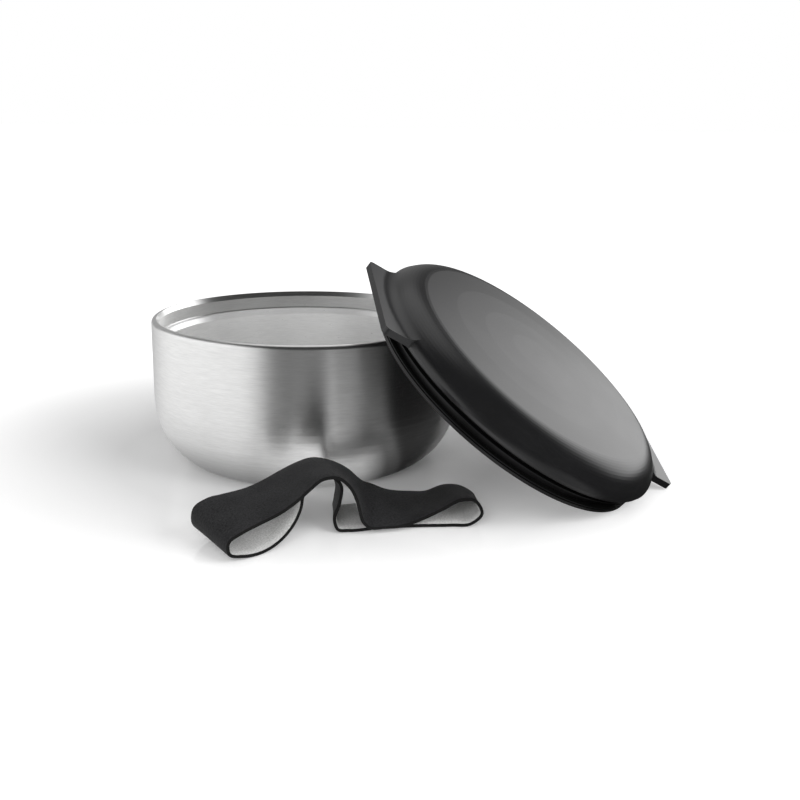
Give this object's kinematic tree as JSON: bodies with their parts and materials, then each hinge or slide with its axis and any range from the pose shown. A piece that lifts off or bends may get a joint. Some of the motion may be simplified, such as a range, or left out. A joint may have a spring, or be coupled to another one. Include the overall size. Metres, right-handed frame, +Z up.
{
  "type": "insulated bowl with lid",
  "caption": "Round double-wall steel bowl on a flat foot, with a domed plug-in lid with two ears leaning on its side and a closed soft strap laid in front.",
  "frame": {"origin": "centre of the flat foot on which the bowl stands", "axes": "+Z up along the bowl's axis, +X to the right as the set is laid out, -Y towards the viewer"},
  "size_m": [0.314, 0.2819, 0.1322],
  "materials": {
    "brushed_outer": "brushed round the axis, satin",
    "brushed_inner": "satin, with a bright rolled rim",
    "base_steel": "plain rolled sheet",
    "port_braze": "melted bead",
    "getter": "sintered, matt",
    "lid_plastic": "fine matt moulded",
    "plate_plastic": "smooth moulded",
    "foam": "closed-cell foam",
    "silicone": "shiny silicone",
    "strap_face": "fine knit on foamed rubber",
    "strap_lining": "brushed loop lining"
  },
  "bodies": {
    "bowl": {"bowl_outer_shell": "brushed_outer", "bowl_inner_shell": "brushed_inner", "bowl_base_disc": "base_steel", "vacuum_port_seal": "port_braze", "getter_pad": "getter"},
    "lid": {"lid_cover": "lid_plastic", "lid_foam": "foam", "lid_plate": "plate_plastic", "lid_seal": "silicone"},
    "strap": {"strap_band": "strap_face", "strap_lining": "strap_lining"}
  },
  "joints": [
    {"name": "lid_lift", "type": "slide", "parent": "bowl", "child": "lid", "axis": [0.5736, -0.1997, 0.7944], "range_m": [0, 0.12]},
    {"name": "strap_lift", "type": "slide", "parent": "bowl", "child": "strap", "axis": [0, -0.97, 0.2431], "range_m": [0, 0.1]}
  ]
}
